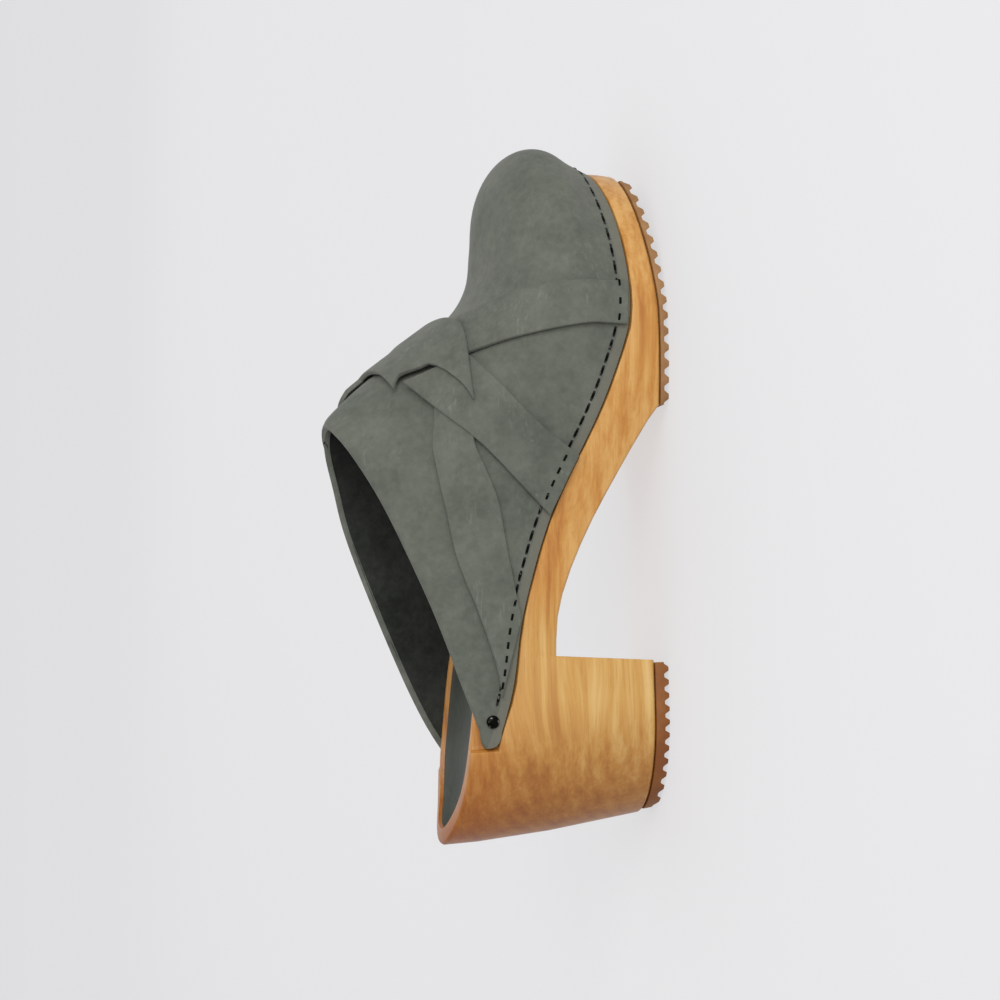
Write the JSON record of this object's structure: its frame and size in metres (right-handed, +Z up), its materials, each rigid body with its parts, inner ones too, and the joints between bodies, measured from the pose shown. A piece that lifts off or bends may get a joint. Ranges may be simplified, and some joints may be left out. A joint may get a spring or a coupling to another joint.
{
  "type": "heeled wooden clog",
  "caption": "Right-foot open-back clog: grey-green leather upper with a knotted strap, stapled to a honey-coloured wooden sole with a block heel.",
  "frame": {"origin": "middle of the heel lift's underside, on the floor", "axes": "+X forward to the toe, +Y to the inner side of this right foot, +Z up"},
  "size_m": [0.245, 0.096, 0.1146],
  "materials": {
    "wood": "satin",
    "lift_rubber": "matte",
    "tread_rubber": "matte",
    "insole_leather": "matte",
    "upper_leather": "matte",
    "nail_steel": "satin"
  },
  "bodies": {
    "root": {"wood_sole": "wood", "heel_lift": "lift_rubber", "forefoot_tread": "tread_rubber", "insole": "insole_leather", "upper": "upper_leather", "strap_ball": "upper_leather", "strap_waist": "upper_leather", "strap_collar": "upper_leather", "strap_inner": "upper_leather", "knot_band": "upper_leather", "knot_loop": "upper_leather", "nail_outer": "nail_steel", "nail_inner": "nail_steel"}
  },
  "joints": []
}
